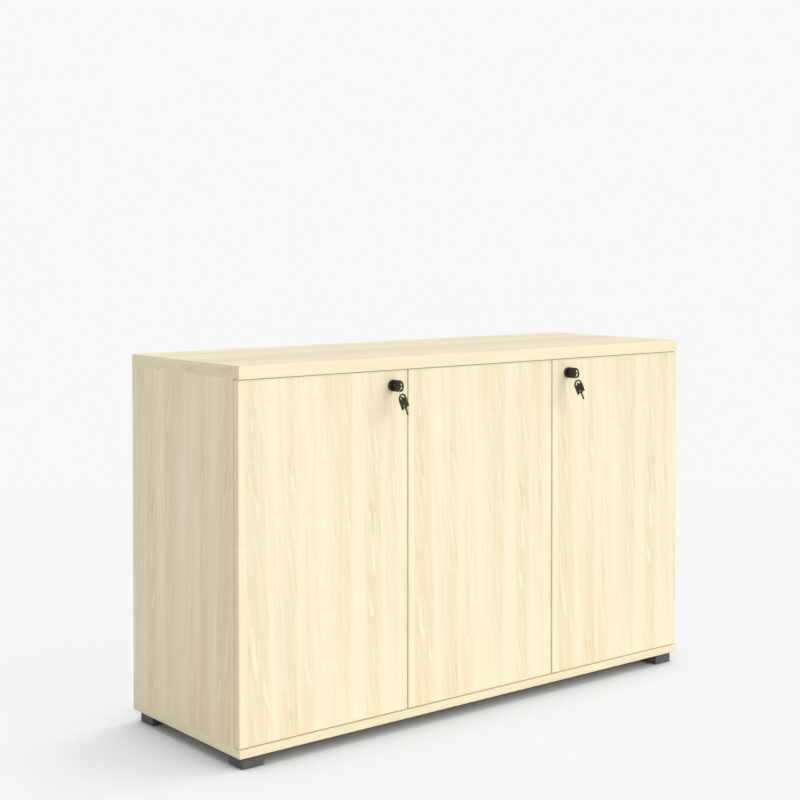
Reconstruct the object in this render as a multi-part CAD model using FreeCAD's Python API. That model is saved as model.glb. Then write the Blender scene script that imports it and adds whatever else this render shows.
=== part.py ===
import FreeCAD, Part
import math
import os

# A low office cabinet: three overlay doors between a thick top and a bottom board, on four block feet.
# The left door closes a bay of its own, and the other two close one wide bay as a pair.
# Millimetres. X runs to the right seen from the front, Y to the back and Z up from the floor.
# The origin is on the floor, under the middle of the whole object with its keys.

# Overall size of the cabinet without its keys
WIDTH = 1200.0
DEPTH = 400.0
HEIGHT = 750.0

# Boards
CARCASS_BOARD = 16.0
TOP_BOARD = 25.0
DOOR_BOARD = 16.0
SHELF_BOARD = 25.0
BACK_BOARD = 8.0
EDGE_EASE = 1.5
PANEL_EASE = 0.5

# Gaps round the doors
DOOR_SETBACK = 3.5
DOOR_BACK_GAP = 1.4
DOOR_END_GAP = 1.3
DOOR_SIDE_GAP = 3.0

# Back panel in its groove
BACK_INSET = 12.0
GROOVE_DEPTH = 6.0
GROOVE_CLEARANCE = 0.1

# Feet and their screws
FOOT_HEIGHT = 24.0
FOOT_SIZE = 48.0
FOOT_FROM_SIDE = 11.0
FOOT_FROM_FRONT = 9.0
FOOT_FROM_BACK = 10.0
FOOT_CORNER = 1.5
FOOT_EASE = 0.6
FOOT_SCREW_SPACING = 22.0
FOOT_COUNTERBORE = 14.0
FOOT_COUNTERBORE_RADIUS = 5.0

# Every screw fits its hole with the same clearance
SCREW_CLEARANCE = 0.1
SCREW_HOLE_SPARE = 1.0

# Shelves and their pins: front lines run from the uprights' front edges, rear lines from the back panel
SHELF_END_CLEARANCE = 1.0
SHELF_FRONT_SETBACK = 20.0
SHELF_BACK_CLEARANCE = 2.0
SHELF_CENTRE = 390.0
PIN_RADIUS = 2.5
PIN_IN_BOARD = 6.0
PIN_OUT = 9.0
PIN_CLEARANCE = 0.05
PIN_HOLE_PITCH = 32.0
PIN_HOLES_EACH_WAY = 2
PIN_HOLE_SPARE = 0.5
PIN_EASE = 0.6
FRONT_PIN = 37.0
REAR_PIN = 65.5

# Knock-down fittings between the upright boards and the top and bottom, on front and rear lines too
CAM_RADIUS = 7.5
CAM_DEPTH = 12.0
CAM_FROM_END = 34.0
CAM_CLEARANCE = 0.1
CAM_SLOT = 1.6
CAM_SLOT_DEPTH = 2.0
CAM_SLOT_LENGTH = 7.5
TIE_RADIUS = 3.0
TIE_CLEARANCE = 0.5
TIE_THREAD_RADIUS = 2.5
TIE_THREAD = 11.0
TIE_PAST_CAM_CENTRE = 2.0
FRONT_TIE = 60.0
REAR_TIE = 58.5
DOWEL_RADIUS = 4.0
DOWEL_LONG_END = 20.0
DOWEL_SHORT_END = 10.0
DOWEL_CLEARANCE = 0.05
DOWEL_HOLE_SPARE = 0.5
FRONT_DOWEL = 92.0
REAR_DOWEL = 90.5

# Hinges: the pivot lies inside the door's cup, near the door's edge
HINGE_FROM_END = 100.0
PIVOT_FROM_EDGE = 6.0
PIVOT_BELOW_BACK = 9.2
PIVOT_PIN_RADIUS = 1.25
PIVOT_PIN_LENGTH = 16.6
PIVOT_CLEARANCE = 0.05
PIVOT_SEAT = 0.02
CUP_RADIUS = 17.5
CUP_FROM_EDGE = 2.5
CUP_DEPTH = 12.3
CUP_WALL = 1.0
CUP_FLOOR = 0.6
CUP_CLEARANCE = 0.1
CUP_LUG_WIDTH = 5.2
CUP_LUG_HEIGHT = 5.4
CUP_FLANGE = 0.6
CUP_EAR_SPAN = 60.0
CUP_EAR_WIDTH = 12.0
CUP_SCREW_SPACING = 48.0
ARM_STRIP = 2.2
ARM_WIDTH = 12.4
ARM_NECK = 6.0
ARM_EYE_RADIUS = 2.1
ARM_LENGTH = 58.0
ARM_BODY_START = 8.0
ARM_BODY_HEIGHT = 6.0
ARM_EASE = 1.0
PLATE_THICKNESS = 3.5
PLATE_START = 22.0
PLATE_PAST_ARM = 4.0
PLATE_WIDTH = 14.0
PLATE_WING = 12.0
PLATE_CORNER = 4.0
PLATE_SPAN = 42.0
PLATE_SCREW_LINE = 37.0
PLATE_SCREW_SPACING = 32.0
ARM_SCREW_FROM_END = 8.0

# Cam locks
LEFT_LOCK_FROM_EDGE = 38.0
RIGHT_LOCK_FROM_EDGE = 45.5
LOCK_BELOW_TOP = 30.0
ROSETTE_RADIUS = 11.5
ROSETTE_DEPTH = 4.0
ROSETTE_EASE = 1.8
BARREL_RADIUS = 9.0
BARREL_BEHIND_DOOR = 8.5
BARREL_CLEARANCE = 0.1
PLUG_RADIUS = 5.5
PLUG_HEAD_RADIUS = 6.5
PLUG_HEAD = 1.5
PLUG_CLEARANCE = 0.05
TANG_SIZE = 7.0
TANG_CLEARANCE = 0.05
LOCK_NUT_SIDES = 6
LOCK_NUT_FLATS = 24.0
LOCK_NUT_THICKNESS = 4.0
CAM_PLATE = 2.0
CAM_PLATE_WIDTH = 12.0
CAM_PLATE_REACH = 27.0
CAM_PLATE_GAP = 0.5

# Strike plates under the top
STRIKE_CLEARANCE = 1.0
STRIKE_THICKNESS = 2.0
STRIKE_WIDTH = 30.0
STRIKE_LEG = 15.0
STRIKE_FOOT = 20.0
STRIKE_SCREW_SPACING = 18.0

# Keys: a plastic head with an arched end and an eye, and a metal blade that folds on a rivet
KEY_LENGTH = 30.0
KEY_WIDTH = 23.0
KEY_THICKNESS = 3.2
KEY_EASE = 0.6
KEY_RIM = 2.6
KEY_EYE_DEPTH = 7.5
KEY_TONGUE_WIDTH = 3.5
KEY_TONGUE_LENGTH = 4.2
KEY_NOTCH_RADIUS = 4.2
KEY_NOTCH_CENTRE = 6.2
KEY_NOTCH_OUTSIDE = 2.4
RIVET_FROM_FORK = 4.0
RIVET_RADIUS = 1.5
RIVET_HEAD_RADIUS = 2.3
RIVET_HEAD = 0.4
RIVET_CLEARANCE = 0.05
BLADE_THICKNESS = 1.3
BLADE_CLEARANCE = 0.1
BLADE_WIDTH = 4.4
BLADE_EYE_RADIUS = 3.2
BLADE_LENGTH = 15.0
BLADE_TIP = 2.0
BLADE_TIP_WIDTH = 2.2
BLADE_NOTCH = 0.8
BLADE_NOTCH_PITCH = 3.2
BLADE_NOTCHES = 3
KEY_OFF_ROSETTE = 1.0
KEYWAY_SPARE = 1.0
RING_RADIUS = 6.25
RING_WIRE = 0.4
RING_FROM_ARCH_CENTRE = 5.5
RING_CLEARANCE = 0.15
SPARE_CLEARANCE = 0.4
SPARE_TILT = 29.0

# Slide bolt on the middle door
BOLT_FROM_EDGE = 25.0
BOLT_RADIUS = 4.0
BOLT_CLEARANCE = 0.05
BOLT_OFF_DOOR = 7.0
BOLT_TOP_GAP = 2.0
BOLT_TRAVEL = 12.0
BOLT_SOCKET_CLEARANCE = 0.5
BOLT_CASE_FROM_TOP = 10.0
BOLT_CASE_HEIGHT = 44.0
BOLT_CASE_WIDTH = 15.0
BOLT_CASE_DEPTH = 13.0
BOLT_CASE_BASE = 2.0
BOLT_CASE_BASE_WIDTH = 34.0
BOLT_CASE_EASE = 1.0
BOLT_SCREW_SPACING = 25.0
BOLT_TAIL = 4.0
BOLT_KNOB_HEIGHT = 16.0
BOLT_KNOB_RADIUS = 2.0
BOLT_KNOB_REACH = 9.0
BOLT_KNOB_HEAD_RADIUS = 3.5
BOLT_KNOB_HEAD = 4.0

# Screws: shank radius, head radius, head height and how far the shank goes into the board
FOOT_SCREW = {"shank": 2.0, "head": 4.2, "height": 3.0, "grip": 11.0}
PLATE_SCREW = {"shank": 1.75, "head": 3.5, "height": 2.0, "grip": 11.0}
ARM_SCREW = {"shank": 2.0, "head": 3.5, "height": 2.0}
CUP_SCREW = {"shank": 1.6, "head": 3.2, "height": 1.6, "grip": 10.0}
STRIKE_SCREW = {"shank": 1.75, "head": 3.3, "height": 1.8, "grip": 13.0}
BOLT_SCREW = {"shank": 1.6, "head": 3.0, "height": 1.5, "grip": 10.0}
CAM_SCREW = {"shank": 2.0, "head": 5.0, "height": 2.2, "grip": 8.0}

# Places along the key's own length, from its rivet: positive towards the arched end
KEY_FORK = -RIVET_FROM_FORK
KEY_END = KEY_FORK + KEY_LENGTH
KEY_ARCH_CENTRE = KEY_END - KEY_WIDTH / 2
KEY_EYE_RADIUS = KEY_WIDTH / 2 - KEY_RIM
KEY_EYE_END = KEY_END - KEY_RIM
KEY_EYE_START = KEY_EYE_END - KEY_EYE_DEPTH
SPARE_HANG = KEY_EYE_END - RING_WIRE - SPARE_CLEARANCE

# Places in front of the door's face
RIVET_OUT = ROSETTE_DEPTH + KEY_OFF_ROSETTE + RIVET_FROM_FORK
RING_OUT = RIVET_OUT + KEY_ARCH_CENTRE + RING_FROM_ARCH_CENTRE
TILT = math.radians(SPARE_TILT)
SPARE_REACH = RING_OUT + (SPARE_HANG - KEY_FORK) * math.sin(TILT) + KEY_WIDTH / 2 * math.cos(TILT)

# Places in the cabinet
FRONT = (SPARE_REACH - DOOR_SETBACK - DEPTH) / 2
BACK = FRONT + DEPTH
BOTTOM_UNDER = FOOT_HEIGHT
BOTTOM_FACE = FOOT_HEIGHT + CARCASS_BOARD
TOP_UNDER = HEIGHT - TOP_BOARD
DOOR_FACE = FRONT + DOOR_SETBACK
DOOR_BACK = DOOR_FACE + DOOR_BOARD
CARCASS_FRONT = DOOR_BACK + DOOR_BACK_GAP
BACK_PANEL_FACE = BACK - BACK_INSET - BACK_BOARD
DOOR_BOTTOM = BOTTOM_FACE + DOOR_END_GAP
DOOR_TOP = TOP_UNDER - DOOR_END_GAP
SIDE = WIDTH / 2
MEETING = WIDTH / 6
LOCK_HEIGHT = DOOR_TOP - LOCK_BELOW_TOP
HINGE_HEIGHTS = (DOOR_BOTTOM + HINGE_FROM_END, DOOR_TOP - HINGE_FROM_END)
PIN_HEIGHT = SHELF_CENTRE - SHELF_BOARD / 2 - PIN_CLEARANCE - PIN_RADIUS

# The upright boards: where each starts in X, and the direction its fittings face
UPRIGHTS = {
    "left_side_panel": (-SIDE, 1),
    "partition_panel": (-MEETING - CARCASS_BOARD / 2, 1),
    "right_side_panel": (SIDE - CARCASS_BOARD, -1),
}

# The doors: both edges in X, and the direction from the hinged edge to the free one
DOORS = {
    "left": (-SIDE, -MEETING - DOOR_SIDE_GAP / 2, 1),
    "middle": (-MEETING + DOOR_SIDE_GAP / 2, MEETING - DOOR_SIDE_GAP / 2, 1),
    "right": (MEETING + DOOR_SIDE_GAP / 2, SIDE, -1),
}

# How far the board that carries each door's hinges reaches in from the door's hinged edge
HINGE_BOARD = {
    "left": CARCASS_BOARD,
    "middle": CARCASS_BOARD / 2 - DOOR_SIDE_GAP / 2,
    "right": CARCASS_BOARD,
}

# The locks: place in X, and the direction their cams point when unlocked
LOCKS = {
    "left": (-MEETING - DOOR_SIDE_GAP / 2 - LEFT_LOCK_FROM_EDGE, -1),
    "right": (MEETING + DOOR_SIDE_GAP / 2 + RIGHT_LOCK_FROM_EDGE, 1),
}
BOLT_X = MEETING - DOOR_SIDE_GAP / 2 - BOLT_FROM_EDGE

# The bays: the faces of the boards on the left and on the right
BAYS = {
    "left": (-SIDE + CARCASS_BOARD, -MEETING - CARCASS_BOARD / 2),
    "right": (-MEETING + CARCASS_BOARD / 2, SIDE - CARCASS_BOARD),
}


def vector(x, y, z):
    return FreeCAD.Vector(x, y, z)


def block(x, y, z):
    """A box from its two limits along each axis."""
    return Part.makeBox(x[1] - x[0], y[1] - y[0], z[1] - z[0], vector(x[0], y[0], z[0]))


def rod(radius, start, end):
    """A round bar between two points."""
    run = end - start
    return Part.makeCylinder(radius, run.Length, start, run)


def joined(shapes):
    """Several overlapping shapes as one solid."""
    return shapes[0].multiFuse(shapes[1:]).removeSplitter()


def eased(shape, radius, wanted):
    """The shape with its wanted edges rounded."""
    edges = [edge for edge in shape.Edges if wanted(edge.CenterOfMass)]
    return shape.makeFillet(radius, edges)


def screw(kind, seat, direction, through):
    """A screw whose head sits on the seat, and whose shank passes through some thickness into its grip."""
    head = rod(kind["head"], seat, seat - direction * kind["height"])
    shank = rod(kind["shank"], seat, seat + direction * (through + kind.get("grip", 0)))
    return joined([head, shank])


def screw_hole(kind, seat, direction, through):
    """The hole that clears the same screw's shank."""
    length = through + kind.get("grip", 0) + SCREW_HOLE_SPARE
    return rod(kind["shank"] + SCREW_CLEARANCE, seat, seat + direction * length)


UP = vector(0, 0, 1)
DOWN = vector(0, 0, -1)
INWARD = vector(0, 1, 0)
OUTWARD = vector(0, -1, 0)


# Feet

def foot_centres():
    """The feet by name, with the middle of each in X and Y."""
    half = FOOT_SIZE / 2
    x = SIDE - FOOT_FROM_SIDE - half
    rows = {"front": FRONT + FOOT_FROM_FRONT + half, "rear": BACK - FOOT_FROM_BACK - half}
    columns = {"left": -x, "right": x}
    return {f"{row}_{side}_foot": (columns[side], rows[row]) for row in rows for side in columns}


def foot_screw_seats(centre):
    """Where the two screws of a foot seat, at the bottom of their counterbores."""
    x, y = centre
    steps = (-FOOT_SCREW_SPACING / 2, FOOT_SCREW_SPACING / 2)
    return [vector(x, y + step, FOOT_COUNTERBORE) for step in steps]


def make_foot(centre):
    x, y = centre
    half = FOOT_SIZE / 2
    foot = block((x - half, x + half), (y - half, y + half), (0, FOOT_HEIGHT))
    foot = eased(foot, FOOT_CORNER, lambda middle: 0 < middle.z < FOOT_HEIGHT)
    foot = eased(foot, FOOT_EASE, lambda middle: middle.z == 0)
    for seat in foot_screw_seats(centre):
        floor = vector(seat.x, seat.y, 0)
        foot = foot.cut(rod(FOOT_COUNTERBORE_RADIUS, floor, seat))
        foot = foot.cut(screw_hole(FOOT_SCREW, seat, UP, FOOT_HEIGHT - FOOT_COUNTERBORE))
    return foot


# Knock-down fittings

def ends_of_uprights():
    """Both ends of an upright board: its height, and the direction out of it into the top or bottom."""
    return ((TOP_UNDER, UP), (BOTTOM_FACE, DOWN))


def front_and_rear(front, rear):
    """Two lines in Y: one behind the uprights' front edges, the other ahead of the back panel."""
    return (CARCASS_FRONT + front, BACK_PANEL_FACE - rear)


def tie_places():
    """Each cam fitting: upright's start in X, facing direction, place in Y, end height and direction out."""
    return [
        (start, facing, y, height, out)
        for start, facing in UPRIGHTS.values()
        for height, out in ends_of_uprights()
        for y in front_and_rear(FRONT_TIE, REAR_TIE)
    ]


def dowel_places():
    return [
        (start, facing, y, height, out)
        for start, facing in UPRIGHTS.values()
        for height, out in ends_of_uprights()
        for y in front_and_rear(FRONT_DOWEL, REAR_DOWEL)
    ]


def board_end(place):
    """The middle of the board's thickness at its end."""
    start, _, y, height, _ = place
    return vector(start + CARCASS_BOARD / 2, y, height)


def cam_face(place):
    """The middle of a cam fitting on the face of its board."""
    start, facing, y, height, out = place
    face = start + CARCASS_BOARD if facing > 0 else start
    return vector(face, y, height - out.z * CAM_FROM_END)


def cam_pocket(place, radius, depth):
    face = cam_face(place)
    return rod(radius, face, face - vector(place[1] * depth, 0, 0))


def tie_bar(place, radius):
    """The plain shank of a tie bolt, from the end of its board to just past the cam's middle."""
    end = board_end(place)
    return rod(radius, end, end - place[4] * (CAM_FROM_END + TIE_PAST_CAM_CENTRE))


def make_cam(place):
    face = cam_face(place)
    cam = cam_pocket(place, CAM_RADIUS, CAM_DEPTH)
    cam = cam.cut(tie_bar(place, TIE_RADIUS + TIE_CLEARANCE))
    half = CAM_SLOT / 2
    depth = sorted((face.x, face.x - place[1] * CAM_SLOT_DEPTH))
    along = (face.z - CAM_SLOT_LENGTH / 2, face.z + CAM_SLOT_LENGTH / 2)
    across = (face.y - CAM_SLOT_LENGTH / 2, face.y + CAM_SLOT_LENGTH / 2)
    cam = cam.cut(block(depth, (face.y - half, face.y + half), along))
    return cam.cut(block(depth, across, (face.z - half, face.z + half)))


def make_tie(place):
    end = board_end(place)
    thread = rod(TIE_THREAD_RADIUS, end, end + place[4] * TIE_THREAD)
    return joined([tie_bar(place, TIE_RADIUS), thread])


def tie_thread_hole(place):
    end = board_end(place)
    return rod(TIE_THREAD_RADIUS + SCREW_CLEARANCE, end, end + place[4] * (TIE_THREAD + SCREW_HOLE_SPARE))


def dowel(place, clearance, spare):
    end = board_end(place)
    inner = end - place[4] * (DOWEL_LONG_END + spare)
    return rod(DOWEL_RADIUS + clearance, inner, end + place[4] * (DOWEL_SHORT_END + spare))


def fitting_holes():
    """Every pocket and hole that the knock-down fittings need, in all the boards they join."""
    holes = []
    for place in tie_places():
        holes.append(cam_pocket(place, CAM_RADIUS + CAM_CLEARANCE, CAM_DEPTH + CAM_CLEARANCE))
        holes.append(tie_bar(place, TIE_RADIUS + TIE_CLEARANCE))
        holes.append(tie_thread_hole(place))
    for place in dowel_places():
        holes.append(dowel(place, DOWEL_CLEARANCE, DOWEL_HOLE_SPARE))
    return holes


# Shelves

def pin_places(height_steps):
    """Shelf pins: the board's face in X, the direction into the board, place in Y and height."""
    return [
        (face, into, line, PIN_HEIGHT + step * PIN_HOLE_PITCH)
        for left_face, right_face in BAYS.values()
        for face, into in ((left_face, -1), (right_face, 1))
        for line in front_and_rear(FRONT_PIN, REAR_PIN)
        for step in height_steps
    ]


def make_pin(place):
    face, into, y, z = place
    inner = vector(face + into * PIN_IN_BOARD, y, z)
    outer = vector(face - into * PIN_OUT, y, z)
    pin = rod(PIN_RADIUS, inner, outer)
    return eased(pin, PIN_EASE, lambda middle: abs(middle.x - outer.x) < PIN_EASE)


def pin_holes():
    steps = range(-PIN_HOLES_EACH_WAY, PIN_HOLES_EACH_WAY + 1)
    radius = PIN_RADIUS + PIN_CLEARANCE
    depth = PIN_IN_BOARD + PIN_HOLE_SPARE
    return [
        rod(radius, vector(face, y, z), vector(face + into * depth, y, z))
        for face, into, y, z in pin_places(steps)
    ]


def make_shelf(bay):
    left_face, right_face = BAYS[bay]
    x = (left_face + SHELF_END_CLEARANCE, right_face - SHELF_END_CLEARANCE)
    y = (CARCASS_FRONT + SHELF_FRONT_SETBACK, BACK_PANEL_FACE - SHELF_BACK_CLEARANCE)
    z = (SHELF_CENTRE - SHELF_BOARD / 2, SHELF_CENTRE + SHELF_BOARD / 2)
    return eased(block(x, y, z), EDGE_EASE, lambda middle: middle.y == y[0])


# Hinges, made beside a door's edge: X from that edge into the door, Y from the door's back into the cabinet

CUP_CENTRE = CUP_FROM_EDGE + CUP_RADIUS
ARM_FACE = CARCASS_BOARD + PLATE_THICKNESS
PLATE_SCREW_AT = DOOR_BACK_GAP + PLATE_SCREW_LINE
TO_BOARD = vector(-1, 0, 0)


def set_hinge(shape, door, height):
    """A hinge piece moved to its door, and mirrored for a door that is hinged on its right."""
    first, last, direction = DOORS[door]
    if direction < 0:
        shape = shape.mirror(vector(0, 0, 0), vector(1, 0, 0))
    edge = first if direction > 0 else last
    return shape.translated(vector(edge, DOOR_BACK, height))


def pivot_bar(radius, length):
    middle = vector(PIVOT_FROM_EDGE, -PIVOT_BELOW_BACK, 0)
    return rod(radius, middle - UP * (length / 2), middle + UP * (length / 2))


def cup_bar(radius, bottom, top):
    return rod(radius, vector(CUP_CENTRE, bottom, 0), vector(CUP_CENTRE, top, 0))


def cup_screw_seats():
    x = CUP_CENTRE + CUP_EAR_WIDTH / 2
    return [vector(x, CUP_FLANGE, step) for step in (-CUP_SCREW_SPACING / 2, CUP_SCREW_SPACING / 2)]


def make_cup():
    inner_radius = CUP_RADIUS - CUP_WALL
    floor = -CUP_DEPTH + CUP_FLOOR
    shell = cup_bar(CUP_RADIUS, -CUP_DEPTH, CUP_FLANGE)
    half_span = CUP_EAR_SPAN / 2
    ears = block((CUP_CENTRE, CUP_CENTRE + CUP_EAR_WIDTH), (0, CUP_FLANGE), (-half_span, half_span))
    cup = joined([shell, ears]).cut(cup_bar(inner_radius, floor, CUP_FLANGE))
    lug_x = (PIVOT_FROM_EDGE - CUP_LUG_WIDTH / 2, PIVOT_FROM_EDGE + CUP_LUG_WIDTH / 2)
    lug_y = (floor, floor + CUP_LUG_HEIGHT)
    lugs = block(lug_x, lug_y, (-CUP_RADIUS, CUP_RADIUS))
    between = ARM_NECK / 2 + CUP_CLEARANCE
    lugs = lugs.cut(block(lug_x, lug_y, (-between, between)))
    lugs = lugs.common(cup_bar(CUP_RADIUS, -CUP_DEPTH, CUP_FLANGE))
    cup = joined([cup, *lugs.Solids])
    cup = cup.cut(pivot_bar(PIVOT_PIN_RADIUS + PIVOT_SEAT, PIVOT_PIN_LENGTH))
    for seat in cup_screw_seats():
        cup = cup.cut(screw_hole(CUP_SCREW, seat, OUTWARD, CUP_FLANGE))
    return cup


def arm_screw_seat():
    return vector(ARM_FACE + ARM_STRIP + ARM_BODY_HEIGHT, ARM_LENGTH - ARM_SCREW_FROM_END, 0)


def make_arm():
    """A strip that turns on the pin, leaves the cup's mouth and lies on the mounting plate."""
    half = ARM_WIDTH / 2
    half_neck = ARM_NECK / 2
    lower = -PIVOT_BELOW_BACK - ARM_STRIP / 2
    eye = pivot_bar(ARM_EYE_RADIUS, ARM_NECK)
    leg_x = (ARM_FACE, ARM_FACE + ARM_STRIP)
    strip = block((PIVOT_FROM_EDGE, leg_x[1]), (lower, lower + ARM_STRIP), (-half_neck, half_neck))
    leg = block(leg_x, (lower, ARM_LENGTH), (-half, half))
    corner = vector(leg_x[1], lower, 0)
    bent = joined([strip, leg])
    bent = eased(bent, ARM_STRIP, lambda middle: (middle - corner).Length < ARM_STRIP / 2)
    body_x = (leg_x[1], leg_x[1] + ARM_BODY_HEIGHT)
    body = block(body_x, (ARM_BODY_START, ARM_LENGTH), (-half, half))
    body = eased(body, ARM_EASE, lambda middle: middle.x == body_x[1])
    arm = joined([eye, bent, body]).cut(pivot_bar(PIVOT_PIN_RADIUS + PIVOT_CLEARANCE, ARM_WIDTH))
    return arm.cut(screw_hole(ARM_SCREW, arm_screw_seat(), TO_BOARD, ARM_BODY_HEIGHT + ARM_STRIP))


def plate_screw_seats():
    steps = (-PLATE_SCREW_SPACING / 2, PLATE_SCREW_SPACING / 2)
    return [vector(ARM_FACE, PLATE_SCREW_AT, step) for step in steps]


def make_plate(door):
    """A cross-shaped plate, deep enough to bring the arm to one distance from any board."""
    x = (HINGE_BOARD[door], ARM_FACE)
    rail = block(x, (PLATE_START, ARM_LENGTH + PLATE_PAST_ARM), (-PLATE_WIDTH / 2, PLATE_WIDTH / 2))
    wing_y = (PLATE_SCREW_AT - PLATE_WING / 2, PLATE_SCREW_AT + PLATE_WING / 2)
    wings = block(x, wing_y, (-PLATE_SPAN / 2, PLATE_SPAN / 2))
    wings = eased(wings, PLATE_CORNER, lambda middle: x[0] < middle.x < x[1])
    plate = joined([rail, wings])
    for seat in plate_screw_seats():
        plate = plate.cut(screw_hole(PLATE_SCREW, seat, TO_BOARD, x[1] - x[0]))
    return plate.cut(screw_hole(ARM_SCREW, arm_screw_seat(), TO_BOARD, arm_screw_seat().x - x[0]))


def plate_screws(door):
    through = ARM_FACE - HINGE_BOARD[door]
    return [screw(PLATE_SCREW, seat, TO_BOARD, through) for seat in plate_screw_seats()]


def plate_screw_holes(door):
    through = ARM_FACE - HINGE_BOARD[door]
    return [screw_hole(PLATE_SCREW, seat, TO_BOARD, through) for seat in plate_screw_seats()]


def make_arm_screw(door):
    through = arm_screw_seat().x - HINGE_BOARD[door] - SCREW_HOLE_SPARE
    return screw(ARM_SCREW, arm_screw_seat(), TO_BOARD, through)


def on_hinges(door, shapes):
    """Copies of hinge pieces at each of a door's hinges."""
    return [set_hinge(shape, door, height) for height in HINGE_HEIGHTS for shape in shapes]


def hinge_cuts_in_door():
    """The pocket for the cup and the holes for its screws."""
    pocket = cup_bar(CUP_RADIUS + CUP_CLEARANCE, -CUP_DEPTH - CUP_CLEARANCE, CUP_FLANGE)
    return [pocket] + [screw_hole(CUP_SCREW, seat, OUTWARD, CUP_FLANGE) for seat in cup_screw_seats()]


# Locks

CAM_PLATE_FRONT = DOOR_BACK + BARREL_BEHIND_DOOR + CAM_PLATE_GAP
CAM_PLATE_BACK = CAM_PLATE_FRONT + CAM_PLATE


def on_lock(lock, y):
    """The point on a lock's axis at a place in Y."""
    return vector(LOCKS[lock][0], y, LOCK_HEIGHT)


def lock_bar(lock, radius, front, back):
    return rod(radius, on_lock(lock, front), on_lock(lock, back))


def lock_block(lock, half_x, y, half_z):
    x = LOCKS[lock][0]
    return block((x - half_x, x + half_x), y, (LOCK_HEIGHT - half_z, LOCK_HEIGHT + half_z))


ROSETTE_FRONT = DOOR_FACE - ROSETTE_DEPTH
BARREL_END = DOOR_BACK + BARREL_BEHIND_DOOR


def make_barrel(lock):
    rosette = lock_bar(lock, ROSETTE_RADIUS, ROSETTE_FRONT, DOOR_FACE)
    rosette = eased(rosette, ROSETTE_EASE, lambda middle: abs(middle.y - ROSETTE_FRONT) < ROSETTE_EASE / 2)
    barrel = joined([rosette, lock_bar(lock, BARREL_RADIUS, DOOR_FACE, BARREL_END)])
    barrel = barrel.cut(lock_bar(lock, PLUG_RADIUS + PLUG_CLEARANCE, ROSETTE_FRONT, BARREL_END))
    head_seat = ROSETTE_FRONT + PLUG_HEAD + PLUG_CLEARANCE
    return barrel.cut(lock_bar(lock, PLUG_HEAD_RADIUS + PLUG_CLEARANCE, ROSETTE_FRONT, head_seat))


def make_lock_nut(lock):
    radius = LOCK_NUT_FLATS / 2 / math.cos(math.pi / LOCK_NUT_SIDES)
    middle = on_lock(lock, DOOR_BACK)
    turns = [2 * math.pi * number / LOCK_NUT_SIDES for number in range(LOCK_NUT_SIDES)]
    outline = [middle + vector(math.cos(turn), 0, math.sin(turn)) * radius for turn in turns]
    nut = Part.Face(Part.makePolygon(outline + outline[:1])).extrude(INWARD * LOCK_NUT_THICKNESS)
    return nut.cut(lock_bar(lock, BARREL_RADIUS + BARREL_CLEARANCE, DOOR_BACK, BARREL_END))


def make_plug(lock):
    """The turning core, with a keyway in front and a square tang behind."""
    head = lock_bar(lock, PLUG_HEAD_RADIUS, ROSETTE_FRONT, ROSETTE_FRONT + PLUG_HEAD)
    core = lock_bar(lock, PLUG_RADIUS, ROSETTE_FRONT, BARREL_END)
    tang = lock_block(lock, TANG_SIZE / 2, (BARREL_END, CAM_PLATE_BACK), TANG_SIZE / 2)
    plug = joined([head, core, tang])
    keyway_end = DOOR_FACE - RIVET_OUT + RIVET_FROM_FORK + BLADE_LENGTH + KEYWAY_SPARE
    keyway_x = BLADE_THICKNESS / 2 + BLADE_CLEARANCE
    keyway_z = BLADE_WIDTH / 2 + BLADE_CLEARANCE
    plug = plug.cut(lock_block(lock, keyway_x, (ROSETTE_FRONT, keyway_end), keyway_z))
    return plug.cut(screw_hole(CAM_SCREW, on_lock(lock, CAM_PLATE_BACK), OUTWARD, 0))


def make_cam_plate(lock):
    """The flat cam that catches the strike plate when the lock is turned."""
    x, direction = LOCKS[lock]
    y = (CAM_PLATE_FRONT, CAM_PLATE_BACK)
    half = CAM_PLATE_WIDTH / 2
    far = x + direction * (CAM_PLATE_REACH - half)
    arm = block(sorted((x, far)), y, (LOCK_HEIGHT - half, LOCK_HEIGHT + half))
    tip = rod(half, vector(far, y[0], LOCK_HEIGHT), vector(far, y[1], LOCK_HEIGHT))
    cam = joined([lock_bar(lock, half, *y), arm, tip])
    hole = TANG_SIZE / 2 + TANG_CLEARANCE
    return cam.cut(lock_block(lock, hole, y, hole))


def make_cam_screw(lock):
    return screw(CAM_SCREW, on_lock(lock, CAM_PLATE_BACK), OUTWARD, 0)


# Strike plates

STRIKE_BACK = CAM_PLATE_FRONT - STRIKE_CLEARANCE
STRIKE_FRONT = STRIKE_BACK - STRIKE_THICKNESS


def strike_screw_seats(lock):
    x, _ = LOCKS[lock]
    y = STRIKE_BACK + STRIKE_FOOT / 2
    z = TOP_UNDER - STRIKE_THICKNESS
    return [vector(x + step, y, z) for step in (-STRIKE_SCREW_SPACING / 2, STRIKE_SCREW_SPACING / 2)]


def make_strike(lock):
    middle = LOCKS[lock][0]
    x = (middle - STRIKE_WIDTH / 2, middle + STRIKE_WIDTH / 2)
    leg = block(x, (STRIKE_FRONT, STRIKE_BACK), (TOP_UNDER - STRIKE_LEG, TOP_UNDER))
    foot = block(x, (STRIKE_FRONT, STRIKE_BACK + STRIKE_FOOT), (TOP_UNDER - STRIKE_THICKNESS, TOP_UNDER))
    strike = joined([leg, foot])
    for seat in strike_screw_seats(lock):
        strike = strike.cut(screw_hole(STRIKE_SCREW, seat, UP, STRIKE_THICKNESS))
    return strike


# Keys, made round the rivet: Y runs from the arched end to the blade, Z across the head

def key_bar(radius, along, half_thickness):
    """A round bar through the key's thickness, at a place along the key."""
    return rod(radius, vector(-half_thickness, -along, 0), vector(half_thickness, -along, 0))


def key_block(along, half_width, half_thickness):
    return block((-half_thickness, half_thickness), (-along[1], -along[0]), (-half_width, half_width))


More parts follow.
